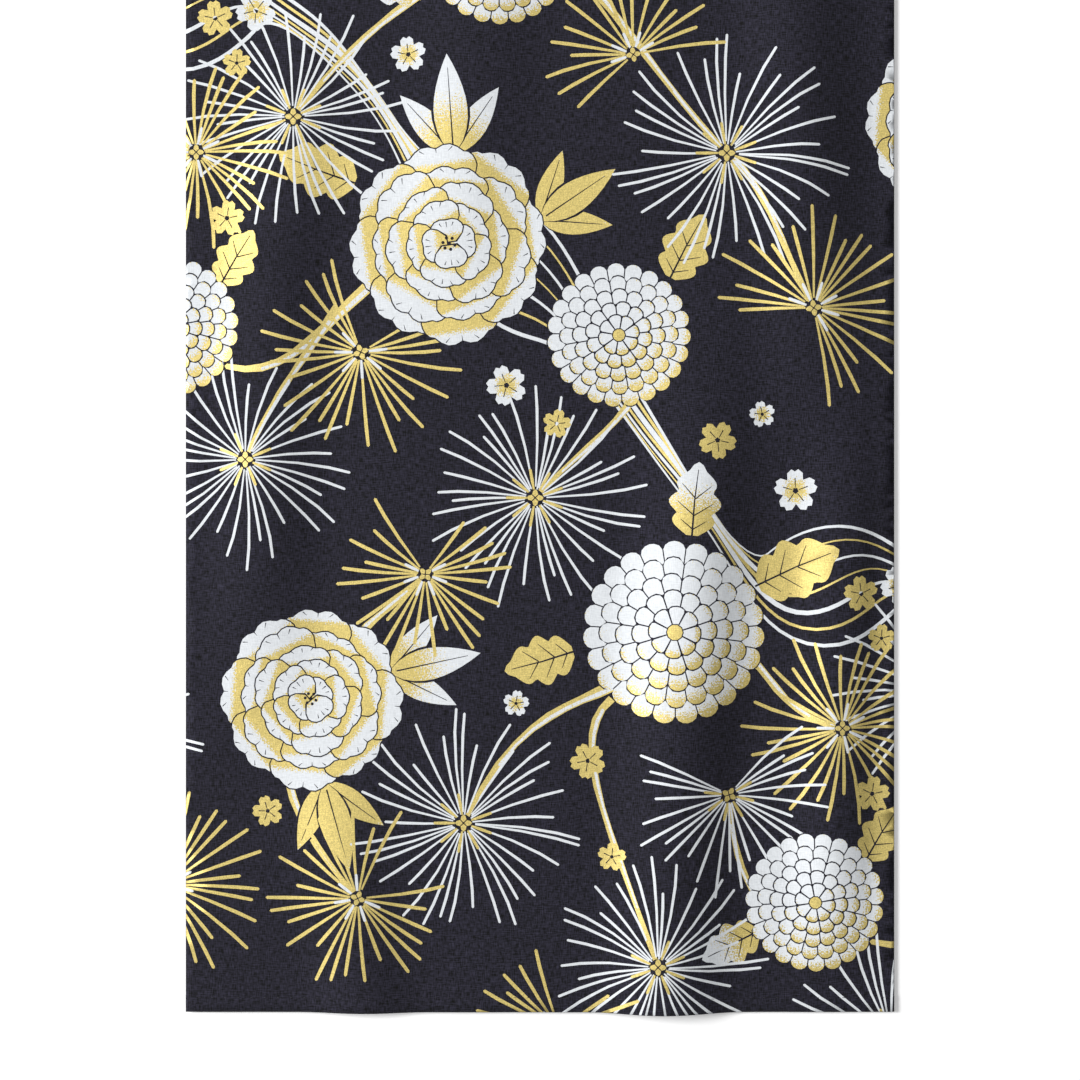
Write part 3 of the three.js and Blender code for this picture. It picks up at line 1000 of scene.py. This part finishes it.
def sleeve_cut(side):
    """One length, folded at its middle, with its two free lower corners rounded."""
    corner = []
    for k in range(7):
        angle = -np.pi / 2 + np.pi / 2 * k / 6
        corner.append((SLEEVE_WIDTH - SLEEVE_CORNER + SLEEVE_CORNER * math.cos(angle),
                       SLEEVE_CORNER + SLEEVE_CORNER * math.sin(angle)))
    far = [(x, 2 * SLEEVE_DROP - y) for x, y in reversed(corner)]
    right = [(0, 0), *corner, *far, (0, 2 * SLEEVE_DROP)]
    outline = [(SLEEVE_X + x, y) for x, y in right]
    return outline if side > 0 else mirrored(outline)


COLLAR_SEAM = [(COLLAR_END_X, COLLAR_END), (OKUMI_SEAM_X, OKUMI_TOP), (-NECK_HALF, LENGTH)]


def beside_seam(distance):
    seam = np.array(COLLAR_SEAM, float)
    along = unit(np.diff(seam, axis=0))
    normal = np.c_[along[:, 1], -along[:, 0]]
    result = []
    for k, point in enumerate(seam):
        before, after = normal[max(0, k - 1)], normal[min(len(normal) - 1, k)]
        middle = (before + after) / np.linalg.norm(before + after)
        result.append(tuple(point + middle * distance / middle.dot(before)))
    return result


def neck_corners():
    rise = COLLAR_WIDTH - GAP
    leg = math.atan2(LENGTH - OKUMI_TOP, -NECK_HALF - OKUMI_SEAM_X)
    start = (-NECK_HALF + GAP, LENGTH + GAP)
    return start, (start[0] + rise / math.tan(leg / 2), LENGTH + COLLAR_WIDTH)


def collar_leg():
    seam, free = beside_seam(GAP), beside_seam(COLLAR_WIDTH)
    start, turn = neck_corners()
    return [free[0], free[1], turn, start, seam[1], seam[0]]


def crease(v, low, high, step=10):
    count = max(2, round((high - low) / step))
    return [(low + (high - low) * k / count, v) for k in range(count + 1)]


# Materials

def node_tree(name):
    material = bpy.data.materials.new(name)
    material.use_nodes = True
    material.node_tree.nodes.clear()
    return material, material.node_tree


def add(tree, kind, **settings):
    node = tree.nodes.new(kind)
    for key, value in settings.items():
        if key in node.inputs:
            node.inputs[key].default_value = value
        else:
            setattr(node, key, value)
    return node


def show(tree, shader):
    output = add(tree, "ShaderNodeOutputMaterial")
    tree.links.new(shader.outputs[0], output.inputs["Surface"])


def maths(tree, operation, a, b=None):
    node = tree.nodes.new("ShaderNodeMath")
    node.operation = operation
    for index, value in enumerate((a, b)):
        if value is None:
            continue
        if isinstance(value, (int, float)):
            node.inputs[index].default_value = value
        else:
            tree.links.new(value, node.inputs[index])
    return node.outputs[0]


def stretched_noise(tree, cut, scale, detail=2.0, rough=0.5):
    mapping = add(tree, "ShaderNodeMapping")
    mapping.inputs["Scale"].default_value = scale
    tree.links.new(cut, mapping.inputs["Vector"])
    noise = add(tree, "ShaderNodeTexNoise", Scale=1.0, Detail=detail, Roughness=rough)
    tree.links.new(mapping.outputs[0], noise.inputs["Vector"])
    return noise.outputs["Fac"]


def weave(tree, cut):
    """Threads both ways, uneven as spun cotton is. Returns a value about 0.5."""
    warp = stretched_noise(tree, cut, (1150, 170, 1))
    weft = stretched_noise(tree, cut, (170, 1150, 1))
    return maths(tree, "MULTIPLY", maths(tree, "ADD", warp, weft), 0.5)


THREAD_PITCH = 0.0005


def weave_bump(tree, cut, value, shader, strength, distance):
    separate = add(tree, "ShaderNodeSeparateXYZ")
    tree.links.new(cut, separate.inputs[0])
    threads = 2 * math.pi / THREAD_PITCH
    over = maths(tree, "SINE", maths(tree, "MULTIPLY", separate.outputs[0], threads))
    under = maths(tree, "SINE", maths(tree, "MULTIPLY", separate.outputs[1], threads))
    plain = maths(tree, "MULTIPLY", maths(tree, "MULTIPLY", over, under), 0.25)
    height = maths(tree, "ADD", plain, value)
    bump = add(tree, "ShaderNodeBump", Strength=strength, Distance=distance)
    tree.links.new(height, bump.inputs["Height"])
    tree.links.new(bump.outputs[0], shader.inputs["Normal"])


def spread(tree, value, low, high):
    """A value about 0.5 taken to the range low to high."""
    ends = {"From Min": 0.3, "From Max": 0.7, "To Min": low, "To Max": high}
    node = add(tree, "ShaderNodeMapRange", **ends)
    tree.links.new(value, node.inputs["Value"])
    return node.outputs[0]


def scaled_color(tree, color, factor):
    node = add(tree, "ShaderNodeVectorMath", operation="SCALE")
    node.inputs[0].default_value = color
    tree.links.new(factor, node.inputs["Scale"])
    return node.outputs[0]


GROUND_COLOR = (0.0139, 0.0130, 0.0225)
WHITE_INK = (0.765, 0.795, 0.825)
GOLD_INK = (0.77, 0.62, 0.215)


def ground_cotton():
    material, tree = node_tree("charcoal_cotton")
    cut = add(tree, "ShaderNodeAttribute", attribute_name="cut").outputs["Vector"]
    threads = weave(tree, cut)
    mottle = stretched_noise(tree, cut, (14, 9, 1), 3.0)
    thread_tone = spread(tree, threads, -0.8, 2.8)
    tone = maths(tree, "MULTIPLY", thread_tone, spread(tree, mottle, 0.92, 1.08))
    looks = {"Specular IOR Level": 0.25, "Sheen Weight": 0.06, "Sheen Roughness": 0.5}
    shader = add(tree, "ShaderNodeBsdfPrincipled", Roughness=0.85, **looks)
    tree.links.new(scaled_color(tree, GROUND_COLOR, tone), shader.inputs["Base Color"])
    weave_bump(tree, cut, threads, shader, 0.35, 0.0002)
    show(tree, shader)
    return material


def printed_cotton():
    """White and metallic gold ink on the same cloth. Gold that thins out breaks into dots."""
    material, tree = node_tree("printed_cotton")
    cut = add(tree, "ShaderNodeAttribute", attribute_name="cut").outputs["Vector"]
    share = add(tree, "ShaderNodeAttribute", attribute_name="gold").outputs["Fac"]
    threads = weave(tree, cut)
    dots = stretched_noise(tree, cut, (760, 760, 1), 1.0)
    level = maths(tree, "ADD", maths(tree, "MULTIPLY", share, 0.62), 0.19)
    edge = maths(tree, "SUBTRACT", level, dots)
    is_gold = add(tree, "ShaderNodeMapRange", **{"From Min": -0.02, "From Max": 0.02})
    tree.links.new(edge, is_gold.inputs["Value"])
    gold = is_gold.outputs[0]
    grain = stretched_noise(tree, cut, (900, 900, 1), 2.0, 0.7)
    white = scaled_color(tree, WHITE_INK, spread(tree, threads, 0.85, 1.15))
    gold_threads = spread(tree, threads, 0.75, 1.25)
    leaf_tone = maths(tree, "MULTIPLY", gold_threads, spread(tree, grain, 0.76, 1.24))
    metal = scaled_color(tree, GOLD_INK, leaf_tone)
    color = add(tree, "ShaderNodeMix", data_type="RGBA")
    tree.links.new(gold, color.inputs["Factor"])
    tree.links.new(white, color.inputs[6])
    tree.links.new(metal, color.inputs[7])
    shader = add(tree, "ShaderNodeBsdfPrincipled", **{"Specular IOR Level": 0.3})
    tree.links.new(color.outputs[2], shader.inputs["Base Color"])
    tree.links.new(maths(tree, "MULTIPLY", gold, 0.5), shader.inputs["Metallic"])
    rough = maths(tree, "SUBTRACT", 0.78, maths(tree, "MULTIPLY", gold, 0.28))
    tree.links.new(rough, shader.inputs["Roughness"])
    weave_bump(tree, cut, threads, shader, 0.3, 0.0002)
    show(tree, shader)
    return material


def dark_thread():
    material, tree = node_tree("dark_thread")
    place = add(tree, "ShaderNodeTexCoord").outputs["Object"]
    twist = stretched_noise(tree, place, (2600, 2600, 2600), 1.0)
    shader = add(tree, "ShaderNodeBsdfPrincipled", Roughness=0.6)
    tree.links.new(scaled_color(tree, (0.026, 0.025, 0.034), spread(tree, twist, 0.6, 1.5)),
                   shader.inputs["Base Color"])
    show(tree, shader)
    return material


def floor_material():
    material, tree = node_tree("pale_glowing_floor")
    place = add(tree, "ShaderNodeTexCoord").outputs["Object"]
    grain = stretched_noise(tree, place, (6, 6, 6), 4.0)
    # Painted light: the floor glows faintly, so that the shadows cast on it are lifted towards
    # white.
    glow = {"Emission Color": (1, 1, 1, 1), "Emission Strength": 0.2}
    looks = {"Roughness": 0.8, "Specular IOR Level": 0.1, **glow}
    shader = add(tree, "ShaderNodeBsdfPrincipled", **looks)
    tree.links.new(scaled_color(tree, (0.93, 0.93, 0.93), spread(tree, grain, 0.985, 1.015)),
                   shader.inputs["Base Color"])
    show(tree, shader)
    return material


# Pieces

CLOTHS = [ground_cotton(), printed_cotton()]
THREAD = dark_thread()


def finish_piece(piece, node):
    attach(piece, "root")
    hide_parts(node)


def back_with_hem(x, y):
    return back_top(x, y) + hem_rise(y, HEM_DEPTH)


FOLD_RADIUS = (PITCH + WALL) / 2
PAST_EDGE = 5
STITCH_INSET = 6
PAST_FOLD = 60


def fold_creases(length, low, high):
    """Creases where a length turns over at its middle."""
    turns = [length + FOLD_RADIUS * np.pi / 2 * k / 2 for k in (-2, -1, 0, 1, 2)]
    return [crease(v, low, high) for v in turns]


def side_name(side):
    return "left" if side < 0 else "right"


def make_body():
    hems = [HEM_DEPTH - 1, HEM_DEPTH + 1]
    lines = fold_creases(LENGTH, -SHOULDER_HALF - PAST_EDGE, SHOULDER_HALF + PAST_EDGE)
    lines += [crease(v, -BACK_HALF - PAST_EDGE, BACK_HALF + PAST_EDGE) for v in hems]
    outline = body_cut()
    place = folded(back_with_hem, body_bottom, 0, LENGTH)
    part = lay_cloth(outline, place, creases=lines, hidden_from=LENGTH + PAST_FOLD)
    piece = make_object("body_cloth", [part])
    back_hem, front_hem = HEM_DEPTH - 2, 2 * LENGTH - HEM_DEPTH + 2
    far, near = BACK_HALF - STITCH_INSET, -OKUMI_SEAM_X + STITCH_INSET
    stitches = sew("hem_stitches", [
        (place, (-far, back_hem), (far, back_hem)),
        (place, (-far, front_hem), (-near, front_hem)),
        (place, (near, front_hem), (far, front_hem)),
    ])
    finish_piece(piece, "body")


def make_okumi(side):
    outline = okumi_outline() if side < 0 else mirrored(okumi_outline())
    under = on_floor if side < 0 else over_left
    flipped = [(x, -y) for x, y in reversed(outline)]
    shift = (60 * side, 300)
    part = lay_cloth(flipped, place_down(under, 0), shift=shift, hidden_from=-1e9)
    name = side_name(side)
    piece = make_object(f"okumi_{name}_cloth", [part])
    finish_piece(piece, f"okumi_{name}")


def make_sleeve(side):
    outline = sleeve_cut(side)
    ends = side * (SLEEVE_X - PAST_EDGE), side * (SLEEVE_X + SLEEVE_WIDTH + PAST_EDGE)
    lines = fold_creases(SLEEVE_DROP, *sorted(ends))
    place = folded(sleeve_top(side), on_floor, SLEEVE_BOTTOM, SLEEVE_DROP)
    shift = (0, side * 210 - 120)
    hidden_from = SLEEVE_DROP + PAST_FOLD
    part = lay_cloth(outline, place, shift=shift, creases=lines, hidden_from=hidden_from)
    name = side_name(side)
    piece = make_object(f"sleeve_{name}_cloth", [part])
    cuff = side * (SLEEVE_X + SLEEVE_WIDTH - CUFF_DEPTH)
    ends = [(cuff, SLEEVE_DROP - CUFF_OPENING), (cuff, SLEEVE_DROP + CUFF_OPENING)]
    stitches = sew(f"cuff_stitches_{name}", [(place, *ends)])
    finish_piece(piece, f"sleeve_{name}")


def flat_band(base):
    def over(x, y):
        return base(x, y) + BAND
    return place_up(over), place_up(base)


def make_collar():
    leg = collar_leg()
    def raised(x, y):
        return np.full_like(x, BAND_PITCH)
    start, turn = neck_corners()
    parts = []
    for outline, base, shift in (
        (leg, on_floor, (20, 90)),
        (mirrored(leg), over_left, (-40, 260)),
        ([start, (-start[0], start[1]), (-turn[0], turn[1]), turn], raised, (0, 40)),
    ):
        over, under = flat_band(base)
        parts.append(lay_cloth(outline, over, shift=shift, lining_place=under))
    piece = make_object("collar_band", parts)
    long = 2 * (math.dist(*COLLAR_SEAM[:2]) + math.dist(*COLLAR_SEAM[1:])) + 2 * NECK_HALF
    finish_piece(piece, "collar")


make_body()
make_okumi(-1)
make_okumi(1)
make_sleeve(-1)
make_sleeve(1)
make_collar()

# Floor, light and camera

FLOOR_DROP = 0.0004
FRAME_WIDTH = 0.904
LENS = 70.0
SENSOR = 36.0
AIM_Y = (395 - MIDDLE_Y) * MM

bpy.ops.mesh.primitive_plane_add(size=14, location=(0, 0, -FLOOR_DROP))
floor = bpy.context.object
floor.name = "floor"
floor.data.materials.append(floor_material())


def area_light(name, place, aim, size, power):
    light = bpy.data.lights.new(name, "AREA")
    light.shape = "SQUARE"
    light.size = size
    light.energy = power
    lamp = linked(name, light)
    lamp.location = place
    lamp.rotation_euler = (Vector(aim) - Vector(place)).to_track_quat("-Z", "Y").to_euler()


area_light("key", (-7.0, 1.2, 4.8), (0, AIM_Y, 0), 3.0, 930)
area_light("overhead", (-0.1, 0.2, 3.6), (0, AIM_Y, 0), 2.6, 20)

world = bpy.data.worlds.new("studio")
world.use_nodes = True
world.node_tree.nodes["Background"].inputs["Color"].default_value = (1, 1, 1, 1)
world.node_tree.nodes["Background"].inputs["Strength"].default_value = 0.21
bpy.context.scene.world = world
bpy.context.scene.view_settings.view_transform = "Standard"

camera_data = bpy.data.cameras.new("camera")
camera_data.lens = LENS
camera_data.sensor_width = SENSOR
camera = linked("camera", camera_data)
camera.location = (0, AIM_Y, FRAME_WIDTH * LENS / SENSOR + 0.004)
bpy.context.scene.camera = camera
